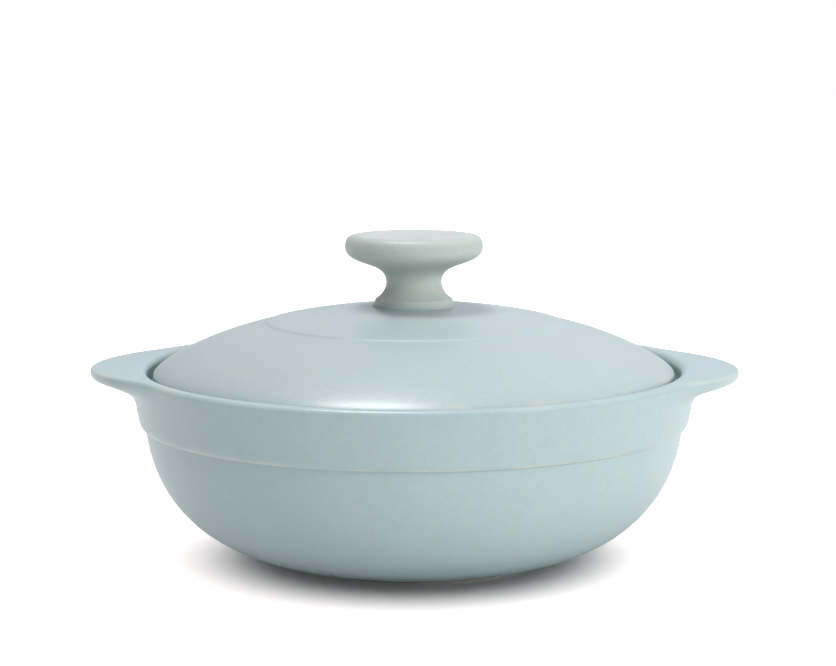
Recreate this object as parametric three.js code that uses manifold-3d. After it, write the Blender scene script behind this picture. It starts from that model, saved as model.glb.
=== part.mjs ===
// A covered porcelain cooking pot: a round bowl with two rim lugs, and a domed lid with a disc knob.
// Millimetres, +Z up. The origin is the middle of the foot's underside, and the lugs lie along X.
// The bowl and the lid shell are formed on a wheel, so they are revolved profiles. The lugs and the knob
// are formed apart and stuck on with slip before firing, so each keeps a thin joint to what carries it.
import * as THREE from "three";
import { mergeVertices } from "three/addons/utils/BufferGeometryUtils.js";
import Module from "manifold-3d";

const wasm = await Module();
wasm.setup();

// Bowl: heights from the table, radii from the pot's axis
const rimHeight = 86.3;
const rimRadius = 126; // outside of the band, at the rim
const rimRound = 2.2; // outer edge of the rim
const rimInnerRound = 2.4;
const bandHeight = 25.2; // from the rim down to the step
const bandTaper = 3.5; // the band draws in this much towards its lower edge
const bandEdgeHeight = 3.4; // rounded lower edge of the band
const bandOverhang = 2.9; // how far that edge stands out over the bowl's wall
const wallLean = 2.5; // the wall's tangent at the step: inwards and down
const wallDrop = 29.3;
const bottomReach = 40.8; // the bottom's tangent at the foot: outwards and up
const bottomRise = 4.6;
const wall = 6.5;
const footRadius = 57;
const footHeight = 1.9;
const footWidth = 7;
const footEdge = 0.6;
const baseRecess = 1.6; // hollow inside the foot ring

// Gallery: the ledge inside the rim that carries the lid
const rimWall = 7.1; // from the gallery's wall out to the rim's outside
const galleryDepth = 8.3;
const galleryRound = 1.2;
const ledgeOverlap = 5; // how far the ledge reaches in under the lid's edge
const ledgeThickness = 4;

// Lid
const lidClearance = 3.1; // between the lid's edge and the gallery's wall
const seatGap = 0.3; // between the lid's seat and the ledge
const crownRise = 26.3; // from the rim up to the top of the dome
const domeOverrun = 16.2; // the dome follows an ellipse that would end this far outside the lid
const lidShoulder = 4.3; // the dome turns over into the edge this far in
const shoulderRise = 1.4; // and this far above the rim
const lidWall = 5.5;
const seatRound = 1.2;
const seatWidth = 4.5;
const seatChamfer = 2;
const discRadius = 66.4; // low raised disc round the knob
const discStep = 0.4;
const discSlope = 1.6; // width of that step

// Knob: heights above the crown of the lid
const collarRadius = 18.2;
const collarTuck = 1.2; // the collar draws in this much down to the lid
const collarHeight = 1.7;
const neckRadius = 12.4;
const neckHeight = 10.2;
const neckFlare = 4.2; // tangents of the neck's hollow curves
const neckBelow = 3.2;
const neckAbove = 4.8;
const knobRadius = 30.5;
const knobWidestHeight = 26;
const knobEdgeBelow = 3.8; // tangents of the disc's round edge
const knobEdgeAbove = 3;
const underSetback = 8.5; // where the disc's underside turns from hollow to round
const underHeight = 18.8;
const underLean = 1 / 3; // slope of the underside there
const underIn = 6;
const underOut = 5;
const knobHeight = 31.4;
const topSetback = 7.3; // flat ring on top, on which the lid stands when it is turned over
const topReach = 4.6;
const topWidth = 5;
const topDish = 0.7;

// Lugs
const lugReach = 18.4; // beyond the rim
const lugTipRadius = 62;
const lugBlendRadius = 150; // hollow curve from the lug's tip back to the rim
const lugDrop = 0.8; // the lugs sag this far below the rim
const lugThickness = 5.8;
const lugUpperEdge = 2.2; // roundings of the lug's edge
const lugLowerEdge = 2.9;
const lugFillet = 5; // under the lug, against the wall
const lugFeather = 1; // the lug ends where it stands out no more than this
const slipJoint = 0.3;

// Facets
const turnSteps = 60;
const knobTurnSteps = 40;

const glaze = { color: 0xbccdce, roughness: 0.4, metalness: 0 };

const point = (x, y) => new THREE.Vector2(x, y);

// Joins points and curves into one profile. A curve comes with its number of steps.
function profile(...parts) {
  const points = [];
  for (const part of parts) {
    const next = Array.isArray(part) ? part[0].getPoints(part[1]) : [part];
    for (const p of next) {
      const last = points.at(-1);
      if (!last || last.distanceTo(p) > 1e-3) points.push(p);
    }
  }
  return points;
}

// A quarter round or any other arc of an ellipse, from one angle to another.
function arc(x, y, halfWidth, halfHeight, from, to) {
  return new THREE.EllipseCurve(x, y, halfWidth, halfHeight, from, to, to < from);
}

function round(x, y, radius, from, to) {
  return arc(x, y, radius, radius, from, to);
}

// A profile of radius and height, turned about Z.
function revolve(points, steps) {
  return new THREE.LatheGeometry(points, steps).rotateX(Math.PI / 2);
}

// A curve moved to the left of its direction.
function offset(curve, distance, steps) {
  const points = [];
  for (let i = 0; i <= steps; i += 1) {
    const along = curve.getTangent(i / steps);
    const left = point(-along.y, along.x).multiplyScalar(distance);
    points.push(curve.getPoint(i / steps).add(left));
  }
  return points;
}

function solidOf(geometry) {
  const bare = new THREE.BufferGeometry();
  bare.setAttribute("position", geometry.getAttribute("position"));
  bare.setIndex(geometry.index);
  const merged = mergeVertices(bare, 1e-3);
  return new wasm.Manifold(
    new wasm.Mesh({
      numProp: 3,
      vertProperties: merged.getAttribute("position").array,
      triVerts: new Uint32Array(merged.index.array),
    }),
  );
}

function geometryOf(solid) {
  const mesh = solid.getMesh();
  const geometry = new THREE.BufferGeometry();
  geometry.setAttribute("position", new THREE.BufferAttribute(mesh.vertProperties, mesh.numProp));
  geometry.setIndex(new THREE.BufferAttribute(mesh.triVerts, 1));
  geometry.computeVertexNormals();
  return geometry;
}

// Stacks outlines of equal length, each at its own height, into a closed solid.
function stack(outlines, heights) {
  const count = outlines[0].length;
  const vertices = [];
  outlines.forEach((outline, level) => {
    for (const p of outline) vertices.push(p.x, p.y, heights[level]);
  });
  const faces = [];
  for (let level = 0; level + 1 < outlines.length; level += 1) {
    for (let i = 0; i < count; i += 1) {
      const a = level * count + i;
      const b = level * count + ((i + 1) % count);
      faces.push(a, b, b + count, a, b + count, a + count);
    }
  }
  const top = (outlines.length - 1) * count;
  for (const [a, b, c] of THREE.ShapeUtils.triangulateShape(outlines[0], [])) {
    faces.push(a, c, b);
  }
  for (const [a, b, c] of THREE.ShapeUtils.triangulateShape(outlines.at(-1), [])) {
    faces.push(top + a, top + b, top + c);
  }
  const geometry = new THREE.BufferGeometry();
  geometry.setAttribute("position", new THREE.Float32BufferAttribute(vertices, 3));
  geometry.setIndex(faces);
  return geometry;
}

function piece(name, geometry) {
  const mesh = new THREE.Mesh(geometry, new THREE.MeshStandardMaterial(glaze));
  mesh.name = name;
  return mesh;
}

const stepHeight = rimHeight - bandHeight;
const bandLowRadius = rimRadius - bandTaper;
const bowlRadius = bandLowRadius - bandOverhang;
const galleryRadius = rimRadius - rimWall;
const ledgeHeight = rimHeight - galleryDepth;
const lidRadius = galleryRadius - lidClearance;
const ledgeRadius = lidRadius - ledgeOverlap;
const shoulderRadius = lidRadius - lidShoulder;
const domeHalfWidth = lidRadius + domeOverrun;
const domeLevel = Math.sqrt(1 - (shoulderRadius / domeHalfWidth) ** 2); // of the ellipse, at the shoulder
const domeHalfHeight = (crownRise - shoulderRise) / (1 - domeLevel);
const shoulderSlope = (domeHalfHeight * shoulderRadius) / (domeHalfWidth ** 2 * domeLevel);
const crownHeight = rimHeight + crownRise;

// The band's outside from the step to the top of the rim, grown by a gap.
function bandOutside(gap) {
  const low = stepHeight + bandEdgeHeight;
  const high = rimHeight - rimRound;
  return profile(
    [arc(bowlRadius, low, bandOverhang + gap, bandEdgeHeight + gap, -Math.PI / 2, 0), 4],
    [arc(rimRadius - rimRound, high, rimRound + gap, rimRound + gap, 0, Math.PI / 2), 4],
  );
}

// Radius of the band's straight outside at a height.
function bandRadius(height) {
  const straight = bandHeight - bandEdgeHeight - rimRound;
  return rimRadius - (bandTaper * (rimHeight - rimRound - height)) / straight;
}

function bowl() {
  const outer = new THREE.CubicBezierCurve(
    point(footRadius, footHeight),
    point(footRadius + bottomReach, footHeight + bottomRise),
    point(bowlRadius - wallLean, stepHeight - wallDrop),
    point(bowlRadius, stepHeight),
  );
  const inner = offset(outer, wall, 8).reverse();
  const recessRadius = footRadius - footWidth;
  const rimInner = galleryRadius + rimInnerRound;
  const ledgeLow = ledgeHeight - ledgeThickness;
  const underLedge = new THREE.QuadraticBezierCurve(
    point(ledgeRadius, ledgeLow),
    point(inner[0].x, (ledgeLow + stepHeight) / 2),
    inner[0],
  );
  const points = profile(
    point(0, baseRecess),
    point(recessRadius - baseRecess, baseRecess),
    point(recessRadius, 0),
    point(footRadius - footEdge, 0),
    point(footRadius, footEdge),
    [outer, 9],
    ...bandOutside(0),
    [round(rimInner, rimHeight - rimInnerRound, rimInnerRound, Math.PI / 2, Math.PI), 4],
    [round(galleryRadius - galleryRound, ledgeHeight + galleryRound, galleryRound, 0, -Math.PI / 2), 3],
    [round(ledgeRadius + galleryRound, ledgeHeight - galleryRound, galleryRound, Math.PI / 2, Math.PI), 3],
    [underLedge, 3],
    ...inner,
    point(0, inner.at(-1).y),
  );
  return revolve(points, turnSteps);
}

// Height of the dome's outside at a radius. The raised disc lies on it.
function domeHeight(r) {
  const drop = domeHalfHeight * (1 - Math.sqrt(1 - (r / domeHalfWidth) ** 2));
  return crownHeight - drop;
}

// Part of the dome's ellipse between two radii, moved in by a wall and up by a rise.
function domeCurve(from, to, inset, rise) {
  const halfWidth = domeHalfWidth - inset;
  const centre = crownHeight - domeHalfHeight + rise;
  const angle = (r) => Math.acos(r / halfWidth);
  return arc(0, centre, halfWidth, domeHalfHeight - inset, angle(from), angle(to));
}

function lidShell() {
  const seat = ledgeHeight + seatGap;
  const seatInner = lidRadius - seatRound - seatWidth;
  const shoulderHeight = rimHeight + shoulderRise;
  const edge = new THREE.QuadraticBezierCurve(
    point(lidRadius, (shoulderHeight + seat) / 2),
    point(lidRadius, shoulderHeight - lidShoulder * shoulderSlope),
    point(shoulderRadius, shoulderHeight),
  );
  const discTop = discRadius - discSlope;
  const points = profile(
    [domeCurve(0, seatInner - seatChamfer, lidWall, 0), 8],
    point(seatInner, seat),
    [round(lidRadius - seatRound, seat + seatRound, seatRound, -Math.PI / 2, 0), 3],
    [edge, 4],
    [domeCurve(shoulderRadius, discRadius, 0, 0), 6],
    [domeCurve(discTop, 0, 0, discStep), 5],
  );
  return revolve(points, turnSteps);
}

function knob() {
  const at = (r, height) => point(r, crownHeight + discStep + height);
  const base = [];
  const baseSteps = 3;
  for (let i = 0; i <= baseSteps; i += 1) {
    const r = ((collarRadius - collarTuck) * i) / baseSteps;
    base.push(point(r, domeHeight(r) + discStep + slipJoint));
  }
  const neckLow = new THREE.CubicBezierCurve(
    at(collarRadius, collarHeight),
    at(collarRadius - neckFlare, collarHeight + neckFlare),
    at(neckRadius, neckHeight - neckBelow),
    at(neckRadius, neckHeight),
  );
  const underRadius = knobRadius - underSetback;
  const neckHigh = new THREE.CubicBezierCurve(
    at(neckRadius, neckHeight),
    at(neckRadius, neckHeight + neckAbove),
    at(underRadius - underIn, underHeight - underIn * underLean),
    at(underRadius, underHeight),
  );
  const discUnder = new THREE.CubicBezierCurve(
    at(underRadius, underHeight),
    at(underRadius + underOut, underHeight + underOut * underLean),
    at(knobRadius, knobWidestHeight - knobEdgeBelow),
    at(knobRadius, knobWidestHeight),
  );
  const topRadius = knobRadius - topSetback;
  const discOver = new THREE.CubicBezierCurve(
    at(knobRadius, knobWidestHeight),
    at(knobRadius, knobWidestHeight + knobEdgeAbove),
    at(topRadius + topReach, knobHeight),
    at(topRadius, knobHeight),
  );
  const dish = at(0, knobHeight);
  const points = profile(
    ...base,
    [neckLow, 5],
    [neckHigh, 5],
    [discUnder, 5],
    [discOver, 5],
    [arc(dish.x, dish.y, topRadius - topWidth, topDish, 0, -Math.PI / 2), 3],
  );
  return revolve(points, knobTurnSteps);
}

// Where the lug's arcs lie: its tip and its blends touch each other, and the blends touch the rim.
const lugTipCentre = rimRadius + lugReach - lugTipRadius;
const lugToBlend = rimRadius + lugBlendRadius;
const lugTurn = Math.acos(
  (lugToBlend ** 2 + lugTipCentre ** 2 - (lugTipRadius + lugBlendRadius) ** 2) /
    (2 * lugToBlend * lugTipCentre),
);
const lugBlendX = lugToBlend * Math.cos(lugTurn);
const lugBlendY = lugToBlend * Math.sin(lugTurn);

// The lug's plan, drawn in by an inset: a round tip, a hollow blend to the rim on each side, and a
// straight back inside the bowl's wall. The arcs of every inset share their centres.
function lugPlan(inset) {
  const tipTurn = Math.atan2(lugBlendY, lugBlendX - lugTipCentre);
  const blend = lugBlendRadius + inset;
  const tip = lugTipRadius - inset;
  const side = (rimRadius - inset) * Math.sin(lugTurn);
  const back = bowlRadius * Math.cos(lugTurn) - lugFillet;
  return profile(
    point(back, -side),
    [round(lugBlendX, -lugBlendY, blend, Math.PI - lugTurn, Math.PI - tipTurn), 9],
    [round(lugTipCentre, 0, tip, -tipTurn, tipTurn), 16],
    [round(lugBlendX, lugBlendY, blend, Math.PI + tipTurn, Math.PI + lugTurn), 9],
    point(back, side),
  );
}

// Half the lug's span: from here on it would stand out less than the feather.
function lugHalfSpan() {
  const bend = 1 / rimRadius + 1 / lugBlendRadius;
  return rimRadius * Math.sin(lugTurn) - Math.sqrt((2 * lugFeather) / bend) * Math.cos(lugTurn);
}

function lug() {
  const top = rimHeight - lugDrop;
  const under = top - lugThickness;
  const steps = 4;
  const insets = [];
  const heights = [];
  for (let i = 0; i <= steps; i += 1) {
    const turn = (i / steps) * (Math.PI / 2);
    insets.push(lugLowerEdge * (1 - Math.sin(turn)));
    heights.push(under + lugLowerEdge * (1 - Math.cos(turn)));
  }
  for (let i = 0; i <= steps; i += 1) {
    const turn = (i / steps) * (Math.PI / 2);
    insets.push(lugUpperEdge * (1 - Math.cos(turn)));
    heights.push(top - lugUpperEdge * (1 - Math.sin(turn)));
  }
  const plate = solidOf(stack(insets.map(lugPlan), heights));
  const filletLow = under - lugFillet;
  const filletCentre = bandRadius(filletLow) + slipJoint + lugFillet;
  const filletRing = solidOf(
    revolve(
      profile(
        point(0, filletLow),
        [round(filletCentre, filletLow, lugFillet, Math.PI, Math.PI / 2), 4],
        point(filletCentre, under + slipJoint),
        point(0, under + slipJoint),
      ),
      turnSteps,
    ),
  );
  const underPlan = lugPlan(lugLowerEdge);
  const filletPlan = solidOf(stack([underPlan, underPlan], [filletLow, under + slipJoint]));
  const span = solidOf(
    new THREE.BoxGeometry(rimRadius + lugReach, 2 * lugHalfSpan(), 2 * rimHeight).translate(
      (rimRadius + lugReach) / 2 + slipJoint,
      0,
      rimHeight,
    ),
  );
  const wallBlank = solidOf(
    revolve(
      profile(
        point(0, stepHeight - slipJoint),
        ...bandOutside(slipJoint),
        point(rimRadius - rimRound, rimHeight + lugThickness),
        point(0, rimHeight + lugThickness),
      ),
      turnSteps,
    ),
  );
  return plate.add(filletRing.intersect(filletPlan)).intersect(span).subtract(wallBlank);
}

const rightLug = geometryOf(lug());
const leftLug = rightLug.clone().rotateZ(Math.PI);

const pot = new THREE.Group();
pot.add(piece("pot_bowl", bowl()));
pot.add(piece("left_handle_lug", leftLug));
pot.add(piece("right_handle_lug", rightLug));

const lid = new THREE.Group();
lid.add(piece("lid_shell", lidShell()));
lid.add(piece("lid_knob", knob()));

const cookingPot = new THREE.Group();
cookingPot.add(pot, lid);

export default cookingPot;
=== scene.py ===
import bpy
import math
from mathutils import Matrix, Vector
from mathutils.kdtree import KDTree


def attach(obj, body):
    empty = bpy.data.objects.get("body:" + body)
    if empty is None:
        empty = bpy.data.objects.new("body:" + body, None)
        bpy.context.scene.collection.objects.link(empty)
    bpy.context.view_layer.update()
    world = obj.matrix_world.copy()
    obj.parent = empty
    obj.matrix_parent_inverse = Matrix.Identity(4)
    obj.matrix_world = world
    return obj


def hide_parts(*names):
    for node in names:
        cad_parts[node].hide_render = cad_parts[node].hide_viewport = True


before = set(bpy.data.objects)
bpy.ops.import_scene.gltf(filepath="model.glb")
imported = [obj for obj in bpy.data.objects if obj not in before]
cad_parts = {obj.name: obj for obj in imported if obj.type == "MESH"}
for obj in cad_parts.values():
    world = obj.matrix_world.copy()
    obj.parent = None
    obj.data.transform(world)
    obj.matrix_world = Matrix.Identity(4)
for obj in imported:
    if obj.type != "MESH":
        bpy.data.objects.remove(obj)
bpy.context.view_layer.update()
mm = 0.001
print("frame loaded:", sorted(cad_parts))


# lines are drawn in mm, and a finished station is (radius, height, lug pull, glaze thinness); the
# thinness also carries painted highlights and painted shade

def bezier(p0, p1, p2, p3, steps):
    points = []
    for i in range(steps + 1):
        t = i / steps
        u = 1 - t
        a, b, c, d = u * u * u, 3 * u * u * t, 3 * u * t * t, t * t * t
        points.append((a * p0[0] + b * p1[0] + c * p2[0] + d * p3[0],
                       a * p0[1] + b * p1[1] + c * p2[1] + d * p3[1]))
    return points


def offsetLine(points, distance):
    moved = []
    for i, p in enumerate(points):
        a = points[max(i - 1, 0)]
        b = points[min(i + 1, len(points) - 1)]
        dx, dz = b[0] - a[0], b[1] - a[1]
        size = math.hypot(dx, dz)
        moved.append((p[0] - dz / size * distance, p[1] + dx / size * distance))
    return moved


arcs = {
    "roomShare": 0.48,  # a rounding takes at most this share of the shorter line beside it
    "lead": 0.5, "leadShare": 0.3, "stepAngle": 13, "fewestSteps": 3, "thinFade": 0.6,
}


def roundedPath(corners):
    # corners are (radius, height, rounding, thinness)
    # a rounded corner turns into an arc, with a short lead on each side
    path = []
    last = len(corners) - 1
    for i, (r, z, rounding, thin) in enumerate(corners):
        if rounding == 0 or i in (0, last):
            path.append((r, z, thin))
            continue
        here = Vector((r, z))
        back = Vector(corners[i - 1][:2]) - here
        ahead = Vector(corners[i + 1][:2]) - here
        room = min(back.length, ahead.length)
        back.normalize()
        ahead.normalize()
        half = back.angle(ahead) / 2
        reach = min(rounding / math.tan(half), arcs["roomShare"] * room)
        radius = reach * math.tan(half)
        middle = here + (back + ahead).normalized() * (radius / math.sin(half))
        start = here + back * reach
        end = here + ahead * reach
        lead = min(arcs["lead"], arcs["leadShare"] * (room - reach))
        path.append((*(start + back * lead), 0))
        turn = math.pi - 2 * half
        steps = max(arcs["fewestSteps"], round(turn / math.radians(arcs["stepAngle"])))
        side = -1 if (start - middle).cross(end - middle) < 0 else 1
        arm = start - middle
        for k in range(steps + 1):
            angle = side * turn * k / steps
            spoke = Vector((arm.x * math.cos(angle) - arm.y * math.sin(angle),
                            arm.x * math.sin(angle) + arm.y * math.cos(angle)))
            strength = thin * math.sin(math.pi * k / steps) ** arcs["thinFade"]
            path.append((*(middle + spoke), strength))
        path.append((*(end + ahead * lead), 0))
    return path


# modelling by hand: a line is drawn by extruding one vertex, then spun about the pot's axis

mergeGap = 0.004


def drawLine(name, stations):
    bpy.ops.object.select_all(action="DESELECT")
    bpy.ops.mesh.primitive_plane_add(size=2 * mm, location=(0, 0, 0))
    piece = bpy.context.object
    piece.name = name
    bpy.ops.object.mode_set(mode="EDIT")
    bpy.ops.mesh.select_all(action="SELECT")
    bpy.ops.mesh.merge(type="CENTER")
    bpy.ops.transform.translate(value=(stations[0][0] * mm, 0, stations[0][1] * mm))
    for a, b in zip(stations, stations[1:]):
        step = ((b[0] - a[0]) * mm, 0, (b[1] - a[1]) * mm)
        bpy.ops.mesh.extrude_vertices_move(TRANSFORM_OT_translate={"value": step})
    return piece


def spinLine(steps):
    bpy.ops.mesh.select_all(action="SELECT")
    bpy.ops.mesh.spin(steps=steps, angle=2 * math.pi, center=(0, 0, 0), axis=(0, 0, 1))
    bpy.ops.mesh.select_all(action="SELECT")
    bpy.ops.mesh.remove_doubles(threshold=mergeGap * mm)
    bpy.ops.mesh.normals_make_consistent(inside=False)
    bpy.ops.object.mode_set(mode="OBJECT")
    bpy.ops.object.shade_smooth()


def stationFinder(stations):
    tree = KDTree(len(stations))
    for i, s in enumerate(stations):
        tree.insert((s[0] * mm, 0, s[1] * mm), i)
    tree.balance()
    return lambda co: stations[tree.find((math.hypot(co.x, co.y), 0, co.z))[1]]


def markThinGlazeAndPaintedLight(piece, values):
    layer = piece.data.attributes.new("thinGlazeAndPaintedLight", "FLOAT", "POINT")
    layer.data.foreach_set("value", values)


# nodes

def addNode(tree, kind, x, y, **values):
    node = tree.nodes.new(kind)
    node.location = (x, y)
    for key, value in values.items():
        setattr(node, key, value)
    return node


def feed(tree, socket, value):
    if isinstance(value, bpy.types.NodeSocket):
        tree.links.new(value, socket)
    else:
        socket.default_value = value


def mixColours(tree, x, y, blend, factor, a, b):
    node = addNode(tree, "ShaderNodeMix", x, y, data_type="RGBA", blend_type=blend)
    for number, value in ((0, factor), (6, a), (7, b)):  # factor and colours
        feed(tree, node.inputs[number], value)
    return node.outputs[2]


def mathNode(tree, x, y, operation, *values):
    node = addNode(tree, "ShaderNodeMath", x, y, operation=operation)
    for socket, value in zip(node.inputs, values):
        feed(tree, socket, value)
    return node.outputs[0]


def rangeNode(tree, x, y, value, span, result):
    node = addNode(tree, "ShaderNodeMapRange", x, y, interpolation_type="SMOOTHSTEP")
    tree.links.new(value, node.inputs["Value"])
    node.inputs["From Min"].default_value, node.inputs["From Max"].default_value = span
    node.inputs["To Min"].default_value, node.inputs["To Max"].default_value = result
    return node.outputs["Result"]


def noiseNode(tree, x, y, place, scale, detail):
    node = addNode(tree, "ShaderNodeTexNoise", x, y)
    tree.links.new(place, node.inputs["Vector"])
    node.inputs["Scale"].default_value = scale
    node.inputs["Detail"].default_value = detail
    return node.outputs["Fac"]


# glaze: one group makes the drift of tone, the mottle, the specks, the thin edges and the pools; the
# thin edges also carry painted highlights, and the pools painted shade in creases

glazeMake = {
    "cloud": (34, 2), "mottle": (380, 3), "grain": (1700, 2), "peel": (240, 2),  # noise scale and detail
    "noiseSpan": (0.3, 0.7),
    "mottleTone": (0.980, 1.020), "grainTone": (0.985, 1.015), "sheen": (0.285, 0.315),
    "uneven": (-0.3, 0.3), "thinAndHighlightSpan": (0.3, 1.1), "thinAndHighlightMost": 0.8,
    "poolAndShadeSpan": (-0.05, -1.0), "poolAndShadeMost": 0.7,
    "speckCells": 165, "speckEdge": (0.04, 0.09), "speckChance": (0.955, 0.975), "speckMost": 0.55,
    "bump": 0.006, "bumpDepth": 0.001, "ior": 1.5,
}
glazeLook = {
    "Glaze": (0.376, 0.470, 0.492, 1),
    "Drift": (0.382, 0.480, 0.482, 1),
    "Thin glaze and highlight": (0.53, 0.555, 0.505, 1),
    "Pooled glaze and shade": (0.30, 0.41, 0.43, 1),
    "Speck": (0.30, 0.22, 0.15, 1),
    "Satin": 0.0,
}
lidLook = {**glazeLook, "Glaze": (0.388, 0.464, 0.480, 1), "Drift": (0.394, 0.471, 0.472, 1)}
knobLook = {
    "Glaze": (0.455, 0.502, 0.476, 1),
    "Drift": (0.436, 0.492, 0.458, 1),
    "Thin glaze and highlight": (0.55, 0.58, 0.57, 1),
    "Pooled glaze and shade": (0.31, 0.41, 0.43, 1),
    "Speck": (0.30, 0.22, 0.15, 1),
    "Satin": 0.13,  # the handled knob is more matt
}


def makeGlazeGroup():
    group = bpy.data.node_groups.new("potteryGlaze", "ShaderNodeTree")
    face = group.interface
    face.new_socket("Place", in_out="INPUT", socket_type="NodeSocketVector")
    for name in ("Thinness and painted light", "Satin"):
        face.new_socket(name, in_out="INPUT", socket_type="NodeSocketFloat")
    for name in ("Glaze", "Drift", "Thin glaze and highlight", "Pooled glaze and shade", "Speck"):
        face.new_socket(name, in_out="INPUT", socket_type="NodeSocketColor")
    face.new_socket("Colour", in_out="OUTPUT", socket_type="NodeSocketColor")
    for name in ("Roughness", "Height"):
        face.new_socket(name, in_out="OUTPUT", socket_type="NodeSocketFloat")
    start = addNode(group, "NodeGroupInput", -1400, 0)
    end = addNode(group, "NodeGroupOutput", 900, 0)
    given = start.outputs
    make = glazeMake
    span = make["noiseSpan"]

    cloud = noiseNode(group, -1100, 300, given["Place"], *make["cloud"])  # broad drift of the glaze
    mottle = noiseNode(group, -1100, 100, given["Place"], *make["mottle"])  # soft mottle of about 2 mm
    grain = noiseNode(group, -1100, -100, given["Place"], *make["grain"])  # fine satin grain
    peel = noiseNode(group, -1100, -300, given["Place"], *make["peel"])  # faint waves in the surface

    driftMask = rangeNode(group, -800, 450, cloud, span, (0, 1))
    mottleTone = rangeNode(group, -800, 100, mottle, span, make["mottleTone"])
    grainTone = rangeNode(group, -800, -100, grain, span, make["grainTone"])
    tone = mathNode(group, -450, 200, "MULTIPLY", mottleTone, grainTone)
    toneColour = addNode(group, "ShaderNodeCombineColor", -300, 200)
    for channel in toneColour.inputs:
        group.links.new(tone, channel)

    # thin glaze breaks softly along the edges; the same pale colour also gives painted highlights and
    # sheen
    uneven = rangeNode(group, -800, -300, cloud, span, make["uneven"])
    broken = mathNode(group, -600, -250, "ADD", given["Thinness and painted light"], uneven)
    thinAndHighlightMask = rangeNode(group, -450, -250, broken, make["thinAndHighlightSpan"], (0, make["thinAndHighlightMost"]))
    # pooled glaze darkens the creases, and stands in for painted shade there
    poolAndShadeMask = rangeNode(group, -450, -450, given["Thinness and painted light"], make["poolAndShadeSpan"], (0, make["poolAndShadeMost"]))

    base = mixColours(group, -350, 0, "MIX", driftMask, given["Glaze"], given["Drift"])
    base = mixColours(group, -150, 0, "MIX", thinAndHighlightMask, base, given["Thin glaze and highlight"])
    base = mixColours(group, 50, 0, "MIX", poolAndShadeMask, base, given["Pooled glaze and shade"])
    base = mixColours(group, 250, 0, "MULTIPLY", 1.0, base, toneColour.outputs["Color"])

    # a few iron specks: only some cells carry one, each a fraction of a millimetre
    cells = addNode(group, "ShaderNodeTexVoronoi", -1100, -500)
    group.links.new(given["Place"], cells.inputs["Vector"])
    cells.inputs["Scale"].default_value = make["speckCells"]
    chance = addNode(group, "ShaderNodeSeparateColor", -900, -620)
    group.links.new(cells.outputs["Color"], chance.inputs["Color"])
    spot = rangeNode(group, -700, -600, cells.outputs["Distance"], make["speckEdge"], (1, 0))
    rare = rangeNode(group, -700, -800, chance.outputs["Red"], make["speckChance"],
                     (0, make["speckMost"]))
    speckMask = mathNode(group, -450, -650, "MULTIPLY", spot, rare)
    base = mixColours(group, 450, 0, "MIX", speckMask, base, given["Speck"])

    sheen = rangeNode(group, 250, -250, mottle, span, make["sheen"])
    rough = mathNode(group, 450, -250, "ADD", sheen, given["Satin"])
    group.links.new(base, end.inputs["Colour"])
    group.links.new(rough, end.inputs["Roughness"])
    group.links.new(peel, end.inputs["Height"])
    return group


glazeGroup = makeGlazeGroup()


def makeGlaze(name, centre, look):
    glaze = bpy.data.materials.new(name)
    glaze.use_nodes = True
    tree = glaze.node_tree
    shader = tree.nodes["Principled BSDF"]
    coords = addNode(tree, "ShaderNodeTexCoord", -1100, 0)
    mapping = addNode(tree, "ShaderNodeMapping", -900, 0)
    mapping.inputs["Location"].default_value = centre
    tree.links.new(coords.outputs["Object"], mapping.inputs["Vector"])
    thin = addNode(tree, "ShaderNodeAttribute", -900, -350, attribute_name="thinGlazeAndPaintedLight")
    surface = addNode(tree, "ShaderNodeGroup", -550, 0)
    surface.node_tree = glazeGroup
    tree.links.new(mapping.outputs["Vector"], surface.inputs["Place"])
    tree.links.new(thin.outputs["Fac"], surface.inputs["Thinness and painted light"])
    for socket, value in look.items():
        surface.inputs[socket].default_value = value
    bump = addNode(tree, "ShaderNodeBump", -280, -250)
    bump.inputs["Strength"].default_value = glazeMake["bump"]
    bump.inputs["Distance"].default_value = glazeMake["bumpDepth"]
    tree.links.new(surface.outputs["Height"], bump.inputs["Height"])
    tree.links.new(surface.outputs["Colour"], shader.inputs["Base Color"])
    tree.links.new(surface.outputs["Roughness"], shader.inputs["Roughness"])
    tree.links.new(bump.outputs["Normal"], shader.inputs["Normal"])
    shader.inputs["IOR"].default_value = glazeMake["ior"]
    return glaze


bareLook = {
    "clean": (0.60, 0.55, 0.46, 1), "worn": (0.48, 0.42, 0.34, 1),
    "wear": (60, 2), "grit": (900, 4),  # noise scale and detail
    "wearSpan": (0.35, 0.7), "roughness": 0.78, "bump": 0.15, "bumpDepth": 0.0004,
}


def makeBarePorcelain():
    bare = bpy.data.materials.new("barePorcelain")
    bare.use_nodes = True
    tree = bare.node_tree
    shader = tree.nodes["Principled BSDF"]
    coords = addNode(tree, "ShaderNodeTexCoord", -1000, 0)
    mapping = addNode(tree, "ShaderNodeMapping", -800, 0)
    tree.links.new(coords.outputs["Object"], mapping.inputs["Vector"])
    grit = noiseNode(tree, -600, 0, mapping.outputs["Vector"], *bareLook["grit"])
    wear = noiseNode(tree, -600, -250, mapping.outputs["Vector"], *bareLook["wear"])
    worn = rangeNode(tree, -400, -250, wear, bareLook["wearSpan"], (0, 1))
    colour = mixColours(tree, -200, 0, "MIX", worn, bareLook["clean"], bareLook["worn"])
    tree.links.new(colour, shader.inputs["Base Color"])
    shader.inputs["Roughness"].default_value = bareLook["roughness"]
    bump = addNode(tree, "ShaderNodeBump", -200, -300)
    bump.inputs["Strength"].default_value = bareLook["bump"]
    bump.inputs["Distance"].default_value = bareLook["bumpDepth"]
    tree.links.new(grit, bump.inputs["Height"])
    tree.links.new(bump.outputs["Normal"], shader.inputs["Normal"])
    return bare


barePorcelain = makeBarePorcelain()
print("glazes ready")


# pot: bowl and lugs are one skin under the glaze

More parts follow.
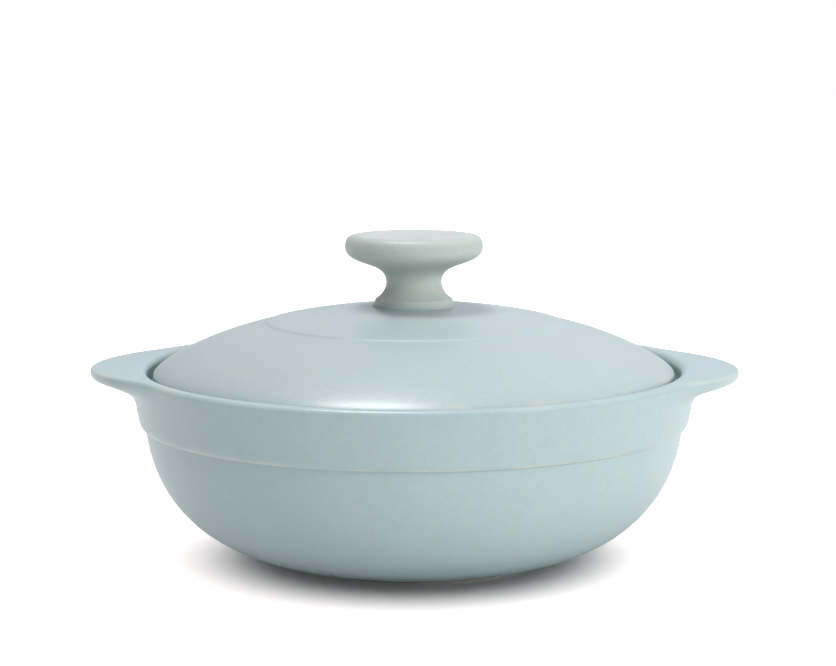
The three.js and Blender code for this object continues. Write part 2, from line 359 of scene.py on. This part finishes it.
pot = {
    "spin": 240, "glazePlace": (0.31, 0.17, 0.05), "pooledAndShade": -0.8,
    "rim": 86.3, "rimRadius": 126.0, "rimRound": 2.2, "rimSteps": 9, "rimThin": 0.34,
    "bandLow": 122.5, "bandStart": 64.5, "bandRows": (66.0, 68.0, 70.0),
    "step": 61.1, "stepRound": 0.4, "stepOut": (0.9, 0.03),  # corner under the band's lip
    "lipPulls": ((121.4, 61.2), (122.16, 62.6)), "lipSteps": 10, "lipThinAndGlintRow": 3, "lipFade": 5,
    "bowlRadius": 119.6, "wall": 6.5, "bowlSteps": 34,
    "bottomPull": (97.8, 6.5), "wallPull": (117.1, 31.8),
    "foot": 57.0, "footHeight": 1.9,
    "ringInner": 50, "ringOuter": 56.6, "ringRound": 0.5, "ringTop": 1.0,
    "recess": 1.6, "recessRadius": 47.6, "recessRound": 1.2, "bareFrom": 48.5, "bareBelow": 0.75,
    "gallery": 118.6, "innerRound": 3.3, "innerRoom": 2, "innerThin": 0.3,
    "ledge": 78.0, "ledgeRadius": 110.8, "ledgeRound": 1.2, "ledgeThin": 0.4,
    "ledgeLow": 74.2, "ledgeLowRound": 0.8,
    "throat": 113.0, "throatTop": 66.0, "throatLow": 61.0, "throatRound": 6,
    "insideTop": 60.0, "floorRows": (40, 20, 0),
}
lug = {
    "reach": 18.4, "tip": 62.0, "blend": 150.0, "drop": 0.8, "edge": 1.0, "edgeThin": 2.3,
    # section: share of the reach, and depth under the rim
    "cove": 15.0, "covePulls": ((0.0, 11.0), (0.13, 8.8)), "coveSteps": 12, "coveClear": 1,
    "under": ((0.40, 7.4), (0.78, 5.4)), "underSteps": 5,
    "nosePulls": ((0.92, 4.66), (1.0, 3.9)), "nose": 2.6, "noseSteps": 9,
    # top: distance inside the rim's rounding, and share of the reach
    "topRows": ((0.2, 0.97), (0.35, 0.8), (0.5, 0.6), (0.65, 0.4), (0.8, 0.2), (0.95, 0.0)),
}


def bandAt(z):
    # the band flares towards the rim
    top = pot["rim"] - pot["rimRound"]
    lean = (pot["rimRadius"] - pot["bandLow"]) / (top - pot["bandStart"])
    return pot["rimRadius"] - lean * (top - min(z, top))


def lugReachAt(angle):
    # how far the rim's outline stands out at an angle from the nearer lug
    tipCentre = pot["rimRadius"] + lug["reach"] - lug["tip"]
    toBlend = pot["rimRadius"] + lug["blend"]
    between = lug["tip"] + lug["blend"]
    turn = math.acos((toBlend ** 2 + tipCentre ** 2 - between ** 2) / (2 * toBlend * tipCentre))
    if angle >= turn:
        return 0.0
    blend = Vector((toBlend * math.cos(turn), toBlend * math.sin(turn)))
    meet = Vector((tipCentre, 0)) + (blend - Vector((tipCentre, 0))) * (lug["tip"] / between)
    if angle <= math.atan2(meet.y, meet.x):
        side = tipCentre * math.sin(angle)
        reach = tipCentre * math.cos(angle) + math.sqrt(lug["tip"] ** 2 - side ** 2)
    else:
        along = blend.x * math.cos(angle) + blend.y * math.sin(angle)
        reach = along - math.sqrt(along ** 2 - blend.length_squared + lug["blend"] ** 2)
    return reach - pot["rimRadius"]


def lugSection():
    # cove at the wall, underside that thins outwards, round nose
    root, tip = lug["under"]
    steps = lug["underSteps"]
    cove = bezier((0.0, lug["cove"]), *lug["covePulls"], root, lug["coveSteps"])
    under = [(root[0] + (tip[0] - root[0]) * i / steps, root[1] + (tip[1] - root[1]) * i / steps)
             for i in range(1, steps + 1)]
    nose = bezier(tip, *lug["nosePulls"], (1.0, lug["nose"]), lug["noseSteps"])[1:]
    return cove + under + nose


def bowlOutside():
    return bezier((pot["foot"], pot["footHeight"]), pot["bottomPull"], pot["wallPull"],
                  (pot["bowlRadius"], pot["step"]), pot["bowlSteps"])


def potOutside():
    # from the middle of the underside up to the foot of the lug's cove
    foot = roundedPath([
        (0, pot["recess"], 0, 0), (pot["recessRadius"], pot["recess"], pot["recessRound"], 0),
        (pot["ringInner"], 0, pot["ringRound"], 0), (pot["ringOuter"], 0, pot["ringRound"], 0),
        (pot["foot"], pot["ringTop"], 0, 0),
    ])
    corners = [(r, z, 0, 0) for r, z in bowlOutside()[1:-1]]
    lipStart = (pot["bowlRadius"] + pot["stepOut"][0], pot["step"] + pot["stepOut"][1])
    # the crease under the lip is darker: pooled glaze and painted shade
    corners += [(pot["bowlRadius"], pot["step"], pot["stepRound"], pot["pooledAndShade"]), (*lipStart, 0, 0)]
    wall = roundedPath(corners)
    lip = bezier(lipStart, *pot["lipPulls"], (pot["bandLow"], pot["bandStart"]), pot["lipSteps"])
    stations = [(r, z, 0, thin) for r, z, thin in foot + wall[:-1]]
    # a pale line along the lip: thin glaze and a painted glint
    for i, (r, z) in enumerate(lip):
        stations.append((r, z, 0, max(0, 1 - abs(i - pot["lipThinAndGlintRow"]) / pot["lipFade"])))
    highest = pot["rim"] - lug["cove"] - lug["coveClear"]
    return stations + [(bandAt(z), z, 0, 0) for z in pot["bandRows"] if z < highest]


def potRim():
    # lug section, outer rounding and flat top of the rim
    rim, outer, edge = pot["rim"], pot["rimRadius"], pot["rimRound"]
    steps = pot["rimSteps"]
    stations = [(bandAt(rim - depth), rim - depth, share, 0) for share, depth in lugSection()]
    for i in range(steps + 1):
        a = math.pi / 2 * i / steps
        thin = pot["rimThin"] * math.sin(2 * a) ** 0.5 if 0 < i < steps else 0
        stations.append((outer - edge + edge * math.cos(a), rim - edge + edge * math.sin(a), 1, thin))
    return stations + [(outer - edge - inside, rim, share, 0) for inside, share in lug["topRows"]]


def potInside():
    # gallery and ledge for the lid, throat, and the bowl's inside down to its middle
    gallery = roundedPath([
        (pot["rimRadius"] + pot["innerRoom"], pot["rim"], 0, 0),  # far enough out for the rounding
        (pot["gallery"], pot["rim"], pot["innerRound"], pot["innerThin"]),
        (pot["gallery"], pot["ledge"], pot["ledgeRound"], pot["pooledAndShade"]),
        (pot["ledgeRadius"], pot["ledge"], pot["ledgeRound"], pot["ledgeThin"]),
        (pot["ledgeRadius"], pot["ledgeLow"], pot["ledgeLowRound"], 0),
        (pot["throat"], pot["throatTop"], pot["throatRound"], 0),
        (pot["throat"], pot["throatLow"], 0, 0),
    ])
    stations = [(r, z, 0, thin) for r, z, thin in gallery[1:]]
    bowlInside = offsetLine(bowlOutside(), pot["wall"])
    bowlInside.reverse()
    stations += [(r, z, 0, 0) for r, z in bowlInside if z < pot["insideTop"]]
    floor = bowlInside[-1][1]
    return stations + [(r, floor, 0, 0) for r in pot["floorRows"]]


def buildPot():
    stations = potOutside() + potRim() + potInside()
    piece = drawLine("potGlazed", stations)
    spinLine(pot["spin"])
    find = stationFinder(stations)
    thin = []
    for vertex in piece.data.vertices:
        radius, height, share, thinness = find(vertex.co)
        if share > 0:
            reach = lugReachAt(math.atan2(abs(vertex.co.y), abs(vertex.co.x))) * share
            out = Vector((vertex.co.x, vertex.co.y, 0)).normalized()
            if share == 1 and height > pot["rim"] - pot["rimRound"]:  # the lug's edge is crisper
                crisp = reach / lug["reach"] * (1 - lug["edge"] / pot["rimRound"])
                vertex.co.z += (pot["rim"] - height) * crisp * mm
                reach += (pot["rimRadius"] - radius) * crisp
                thinness *= 1 + lug["edgeThin"] * crisp
            vertex.co += out * reach * mm
            vertex.co.z -= lug["drop"] * reach / lug["reach"] * mm  # the lug sags a little
        thin.append(thinness)
    markThinGlazeAndPaintedLight(piece, thin)
    piece.data.materials.append(makeGlaze("potGlaze", pot["glazePlace"], glazeLook))
    piece.data.materials.append(barePorcelain)
    for face in piece.data.polygons:
        fromAxis = math.hypot(face.center.x, face.center.y)
        onFoot = face.center.z < pot["bareBelow"] * mm and fromAxis > pot["bareFrom"] * mm
        face.material_index = 1 if onFoot else 0
    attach(piece, "pot")
    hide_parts("pot_bowl", "left_handle_lug", "right_handle_lug")
    print("pot:", len(stations), "stations,", len(piece.data.polygons), "faces")
    return piece


potPiece = buildPot()


# lid: dome with a low raised disc, rolled edge and bare bearing ring

lid = {
    "spin": 216, "glazePlace": (0.07, 0.43, 0.21),
    "radius": 116.0, "crown": 112.6, "halfWidth": 132.0, "halfHeight": 53.58, "wall": 5.5,
    "insideRows": (0, 12, 24, 36, 48, 60, 70, 79, 87, 94, 100, 104.5),
    "seat": 78.3, "seatTop": 108.1, "seatTopRound": 1.0, "seatInner": 110.1, "seatOuter": 115.0,
    "seatRound": 0.5, "seatThin": 0.3, "bareAbove": 0.25,
    "edgeLow": 79.4, "edgeLowThin": 0.1, "edgeMiddle": 81.2, "edgeStart": 83.0,
    "shoulder": 111.5, "edgePull": 2 / 3, "edgeSteps": 12, "edgeThin": 0.45,
    "rowGap": 2.2, "rowClear": 1,
    "disc": 66.4, "discStep": 0.45, "discSlope": 1.7, "discSteps": 6, "discThin": 0.3,
    "discFirstRow": 3.0, "discRowGap": 2.6,
}


def domeAt(r, inset=0.0):
    halfWidth, halfHeight = lid["halfWidth"] - inset, lid["halfHeight"] - inset
    return lid["crown"] - lid["halfHeight"] + halfHeight * math.sqrt(1 - (r / halfWidth) ** 2)


def lidEdge():
    # rolled edge, from the upright side over to the dome
    radius, shoulder, start, pull = lid["radius"], lid["shoulder"], lid["edgeStart"], lid["edgePull"]
    top = domeAt(shoulder)
    slope = domeAt(shoulder - 0.5) - domeAt(shoulder + 0.5)  # over 1 mm
    out = radius - shoulder
    knee = top - out * slope
    return bezier((radius, start), (radius, start + pull * (knee - start)),
                  (shoulder + pull * out, top - pull * out * slope), (shoulder, top), lid["edgeSteps"])


def lidStations():
    wall, seat = lid["wall"], lid["seat"]
    corners = [(r, domeAt(r, wall), 0, 0) for r in lid["insideRows"]]
    corners += [(lid["seatTop"], domeAt(lid["seatTop"], wall), lid["seatTopRound"], 0),
                (lid["seatInner"], seat, lid["seatRound"], 0),
                (lid["seatOuter"], seat, lid["seatRound"], lid["seatThin"]),
                (lid["radius"], lid["edgeLow"], 0, lid["edgeLowThin"])]
    line = roundedPath(corners)
    line.append((lid["radius"], lid["edgeMiddle"], 0))
    for i, (r, z) in enumerate(lidEdge()):
        line.append((r, z, lid["edgeThin"] * math.sin(math.pi * i / lid["edgeSteps"])))
    r = lid["shoulder"] - lid["rowGap"] / 2
    while r > lid["disc"] + lid["rowClear"]:
        line.append((r, domeAt(r), 0))
        r -= lid["rowGap"]
    for i in range(lid["discSteps"] + 1):  # soft step up to the raised disc
        t = i / lid["discSteps"]
        r = lid["disc"] - lid["discSlope"] * t
        lift = lid["discStep"] * (3 * t * t - 2 * t ** 3)
        line.append((r, domeAt(r) + lift, lid["discThin"] * math.sin(math.pi * t)))
    r = lid["disc"] - lid["discFirstRow"]
    while r > 0:
        line.append((r, domeAt(r) + lid["discStep"], 0))
        r -= lid["discRowGap"]
    line.append((0, lid["crown"] + lid["discStep"], 0))
    return [(r, z, 0, thin) for r, z, thin in line]


def buildLid():
    stations = lidStations()
    piece = drawLine("lidGlazed", stations)
    spinLine(lid["spin"])
    find = stationFinder(stations)
    markThinGlazeAndPaintedLight(piece, [find(v.co)[3] for v in piece.data.vertices])
    piece.data.materials.append(makeGlaze("lidGlaze", lid["glazePlace"], lidLook))
    piece.data.materials.append(barePorcelain)
    for face in piece.data.polygons:
        face.material_index = 1 if face.center.z < (lid["seat"] + lid["bareAbove"]) * mm else 0
    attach(piece, "lid")
    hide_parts("lid_shell")
    print("lid:", len(stations), "stations,", len(piece.data.polygons), "faces")
    return piece


lidPiece = buildLid()


# knob: disc on a waisted neck, with a fine line above the skirt where it was stuck to the lid; the line
# is thin glaze with a painted highlight, and the skirt below is darkened with pooled glaze and painted
# shade

knob = {
    "spin": 144, "glazePlace": (0.52, 0.09, 0.36), "base": 113.0,
    "baseGap": 0.7, "baseRows": (0, 8), "baseEdge": (0.5, 0.02), "baseEdgePoolAndShade": -0.5,
    "skirt": 18.7, "skirtGap": 0.05, "skirtPull": (1.3, 0.5), "skirtSteps": 9, "skirtPoolAndShade": -0.7,
    "collar": 17.2, "collarTop": 2.8, "collarPull": (0.5, 1.4),  # the fine line, thin glaze with a painted highlight
    "lineFrom": 4, "lineThinAndHighlight": 0.8, "lineAbove": 0.6, "lineFade": 0.3,
    "neck": 12.4, "neckRise": 10.2, "neckFlare": (2.2, 1.3), "neckBelow": 3.4, "neckAbove": 4.8,
    "under": (22.0, 18.8), "underLean": 1 / 3, "underIn": 6, "underOut": 5, "underThin": 0.1,
    "radius": 30.7, "widest": 26.0, "edgeBelow": 3.8, "edgeAbove": 3.5, "curveSteps": 12,
    "top": 31.4, "topRadius": 25.3, "topReach": 4.0, "topSteps": 14, "topWidth": 7.1,
    "dish": 0.7, "dishSteps": 8, "paintedTopSheen": 0.9, "paintedSheenFrom": 5,
}


def knobFoot():
    # underside on the lid, skirt darkened with pooled glaze and painted shade, and the fine line of thin
    # glaze with a painted highlight
    skirt, collar, skirtPoolShade = knob["skirt"], knob["collar"], knob["skirtPoolAndShade"]
    line = knob["base"] + knob["collarTop"]
    lidTop = domeAt(skirt) + lid["discStep"]
    tuck, gap = knob["baseEdge"]
    stations = [(r, domeAt(r) + knob["baseGap"], 0) for r in knob["baseRows"]]
    stations.append((skirt - tuck, lidTop + gap, knob["baseEdgePoolAndShade"]))
    side = bezier((skirt, lidTop + knob["skirtGap"]),
                  (skirt - knob["skirtPull"][0], lidTop + knob["skirtPull"][1]),
                  (collar + knob["collarPull"][0], line - knob["collarPull"][1]),
                  (collar, line), knob["skirtSteps"])
    start = knob["lineFrom"]
    for i, (r, z) in enumerate(side):
        rise = max(0, i - start) / (knob["skirtSteps"] - start)
        stations.append((r, z, skirtPoolShade + (knob["lineThinAndHighlight"] - skirtPoolShade) * rise))
    return stations


def knobBody():
    # neck, underside of the disc and its round edge
    up, steps = knob["base"], knob["curveSteps"]
    collar, line = knob["collar"], up + knob["collarTop"]
    waist = (knob["neck"], up + knob["neckRise"])
    turn = (knob["under"][0], up + knob["under"][1])  # the underside turns from hollow to round
    widest = (knob["radius"], up + knob["widest"])
    rest = (knob["topRadius"], up + knob["top"])
    lean = knob["underLean"]
    low = bezier((collar, line), (collar - knob["neckFlare"][0], line + knob["neckFlare"][1]),
                 (waist[0], waist[1] - knob["neckBelow"]), waist, steps)[1:]
    high = bezier(waist, (waist[0], waist[1] + knob["neckAbove"]),
                  (turn[0] - knob["underIn"], turn[1] - knob["underIn"] * lean), turn, steps)[1:]
    under = bezier(turn, (turn[0] + knob["underOut"], turn[1] + knob["underOut"] * lean),
                   (widest[0], widest[1] - knob["edgeBelow"]), widest, steps)[1:]
    over = bezier(widest, (widest[0], widest[1] + knob["edgeAbove"]),
                  (rest[0] + knob["topReach"], rest[1]), rest, knob["topSteps"])[1:]
    stations = [(r, z, max(0, knob["lineAbove"] - knob["lineFade"] * i)) for i, (r, z) in enumerate(low)]
    stations += [(r, z, 0) for r, z in high]
    stations += [(r, z, knob["underThin"]) for r, z in under]
    # the top of the round edge turns paler: a painted sheen
    start = knob["paintedSheenFrom"]
    for i, (r, z) in enumerate(over):
        stations.append((r, z, knob["paintedTopSheen"] * max(0, (i - start) / (len(over) - 1 - start)) ** 2))
    return stations


def knobTop():
    # flat ring and shallow dish, painted paler than the sides: a painted sheen
    top, steps = knob["base"] + knob["top"], knob["dishSteps"]
    inner = knob["topRadius"] - knob["topWidth"]
    stations = []
    for i in range(steps + 1):
        a = math.pi / 2 * i / steps
        r = inner * math.cos(a) if i < steps else 0
        stations.append((r, top - knob["dish"] * math.sin(a) ** 2, knob["paintedTopSheen"]))
    return stations


def buildKnob():
    stations = [(r, z, 0, thin) for r, z, thin in knobFoot() + knobBody() + knobTop()]
    piece = drawLine("knobGlazed", stations)
    spinLine(knob["spin"])
    find = stationFinder(stations)
    markThinGlazeAndPaintedLight(piece, [find(v.co)[3] for v in piece.data.vertices])
    piece.data.materials.append(makeGlaze("knobGlaze", knob["glazePlace"], knobLook))
    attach(piece, "lid")
    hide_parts("lid_knob")
    print("knob:", len(stations), "stations,", len(piece.data.polygons), "faces")
    return piece


knobPiece = buildKnob()


# table, light and camera

table = {
    "hole": 55.5, "corners": 96, "below": 0.1, "grow": 150,
    "lit": (0.83, 0.83, 0.83, 1),  # what it throws back at the ware
    "seen": (1.70, 1.55, 1.53, 1),  # bright enough to be white round the shade
}


def makeFloor():
    bpy.ops.object.select_all(action="DESELECT")
    bpy.ops.mesh.primitive_circle_add(vertices=table["corners"], radius=table["hole"] * mm,
                                      location=(0, 0, -table["below"] * mm))
    floor = bpy.context.object
    floor.name = "paleTable"
    bpy.ops.object.mode_set(mode="EDIT")
    bpy.ops.mesh.select_all(action="SELECT")
    bpy.ops.mesh.extrude_edges_move()  # open under the foot ring, so that light reaches the underside
    bpy.ops.transform.resize(value=(table["grow"], table["grow"], 1))
    bpy.ops.mesh.select_all(action="SELECT")
    bpy.ops.mesh.normals_make_consistent(inside=False)
    bpy.ops.object.mode_set(mode="OBJECT")
    if floor.data.polygons[0].normal.z < 0:
        floor.data.flip_normals()
    paint = bpy.data.materials.new("paleTable")
    paint.use_nodes = True
    tree = paint.node_tree
    tree.nodes.remove(tree.nodes["Principled BSDF"])
    matt = addNode(tree, "ShaderNodeBsdfDiffuse", 0, 0)
    path = addNode(tree, "ShaderNodeLightPath", -400, 0)
    white = mixColours(tree, -200, 0, "MIX", path.outputs["Is Camera Ray"], table["lit"], table["seen"])
    tree.links.new(white, matt.inputs["Color"])
    clear = addNode(tree, "ShaderNodeBsdfTransparent", 0, -150)
    side = addNode(tree, "ShaderNodeNewGeometry", -400, -250)
    below = addNode(tree, "ShaderNodeMixShader", 200, 0)  # from below the table is clear
    tree.links.new(side.outputs["Backfacing"], below.inputs[0])
    tree.links.new(matt.outputs[0], below.inputs[1])
    tree.links.new(clear.outputs[0], below.inputs[2])
    tree.links.new(below.outputs[0], tree.nodes["Material Output"].inputs["Surface"])
    floor.data.materials.append(paint)
    return floor


studio = {
    "room": (0.245, 0.60), "roomSide": (0.70, 0.36, 0.55), "roomColour": (0.99, 1.0, 1.01, 1),
    "backdrop": 0.24, "backdropSide": (0, 0.8, 0.6), "backdropSpan": (0.80, 0.97),
    "horizon": 0.15, "horizonSide": (0, 0.993, 0.12), "horizonSpan": (0.93, 0.99),
    "horizonColour": (0.88, 0.98, 1.12, 1),
    "overhead": {"from": (-0.16, 0.07, 1.0), "strength": 1.9, "spread": 21},
    "tableSky": {"from": (0, 0, 1.0), "strength": 2.6, "spread": 118},
    "key": {"place": (1.55, -1.15, 0.70), "aim": (0, 0, 0.06), "size": (1.0, 1.0), "watts": 24},
}


def makeRoom():
    # soft room, dimmer on the left and brighter behind the pot; seen by the camera it is white
    world = bpy.data.worlds.new("softRoom")
    world.use_nodes = True
    tree = world.node_tree
    room = tree.nodes["Background"]
    coords = addNode(tree, "ShaderNodeTexCoord", -900, 0)

    def towards(y, side, span, result):
        dot = addNode(tree, "ShaderNodeVectorMath", -700, y, operation="DOT_PRODUCT")
        tree.links.new(coords.outputs["Generated"], dot.inputs[0])
        dot.inputs[1].default_value = side
        return rangeNode(tree, -500, y, dot.outputs["Value"], span, result)

    glow = towards(0, studio["roomSide"], (-1, 1), studio["room"])
    behind = towards(-250, studio["backdropSide"], studio["backdropSpan"], (0, studio["backdrop"]))
    low = towards(-450, studio["horizonSide"], studio["horizonSpan"], (0, 1))
    total = mathNode(tree, -300, 100, "ADD", glow, behind)
    total = mathNode(tree, -300, -50, "MULTIPLY_ADD", low, studio["horizon"], total)
    tint = mixColours(tree, -300, -400, "MIX", low, studio["roomColour"], studio["horizonColour"])
    tree.links.new(total, room.inputs["Strength"])
    tree.links.new(tint, room.inputs["Color"])
    backdrop = addNode(tree, "ShaderNodeBackground", -300, -200)
    backdrop.inputs["Color"].default_value = (1, 1, 1, 1)
    path = addNode(tree, "ShaderNodeLightPath", -300, 300)
    choose = addNode(tree, "ShaderNodeMixShader", 0, 0)
    tree.links.new(path.outputs["Is Camera Ray"], choose.inputs[0])
    tree.links.new(room.outputs[0], choose.inputs[1])
    tree.links.new(backdrop.outputs[0], choose.inputs[2])
    tree.links.new(choose.outputs[0], tree.nodes["World Output"].inputs["Surface"])
    bpy.context.scene.world = world


def receivers(name, pieces):
    group = bpy.data.collections.new(name)
    for piece in pieces:
        group.objects.link(piece)
    return group


def placeLamp(lamp, place, look, lights):
    thing = bpy.data.objects.new(lamp.name, lamp)
    thing.location = place
    thing.rotation_euler = look.to_track_quat("-Z", "Y").to_euler()
    bpy.context.scene.collection.objects.link(thing)
    thing.light_linking.receiver_collection = lights
    return thing


def makeSun(name, lights):
    setup = studio[name]
    lamp = bpy.data.lights.new(name, "SUN")
    lamp.energy = setup["strength"]
    lamp.angle = math.radians(setup["spread"])
    placeLamp(lamp, (0, 0, 0), -Vector(setup["from"]), lights)


def makeKey(lights):
    setup = studio["key"]
    lamp = bpy.data.lights.new("key", "AREA")
    lamp.shape = "RECTANGLE"
    lamp.size, lamp.size_y = setup["size"]
    lamp.energy = setup["watts"]
    thing = placeLamp(lamp, setup["place"], Vector(setup["aim"]) - Vector(setup["place"]), lights)
    thing.visible_glossy = False  # it shapes the ware, and leaves no white glare when seen from behind


shot = {
    "distance": 0.950, "height": 0.22825, "down": 7.672, "turn": 1.6, "aside": 0.0018,
    "focal": 2147.93, "pictureWidth": 836, "sensor": 36,  # focal length in pixels of the picture
}


def makeCamera():
    lens = bpy.data.cameras.new("camera")
    lens.sensor_width = shot["sensor"]
    lens.lens = shot["focal"] * shot["sensor"] / shot["pictureWidth"]
    camera = bpy.data.objects.new("camera", lens)
    turn = math.radians(shot["turn"])
    across = Vector((math.cos(turn), math.sin(turn), 0))
    away = Vector((-math.sin(turn), math.cos(turn), 0))
    camera.location = across * shot["aside"] - away * shot["distance"] + Vector((0, 0, shot["height"]))
    camera.rotation_euler = (math.radians(90 - shot["down"]), 0, turn)
    bpy.context.scene.collection.objects.link(camera)
    bpy.context.scene.camera = camera


paleTable = makeFloor()
makeRoom()
ware = receivers("ware", (potPiece, lidPiece, knobPiece))
tableOnly = receivers("tableOnly", (paleTable,))  # so the shade on the table stays close to the foot
makeSun("overhead", ware)
makeSun("tableSky", tableOnly)
makeKey(ware)
makeCamera()
bpy.context.scene.view_settings.view_transform = "Standard"
bpy.context.scene.view_settings.look = "None"
print("studio ready")
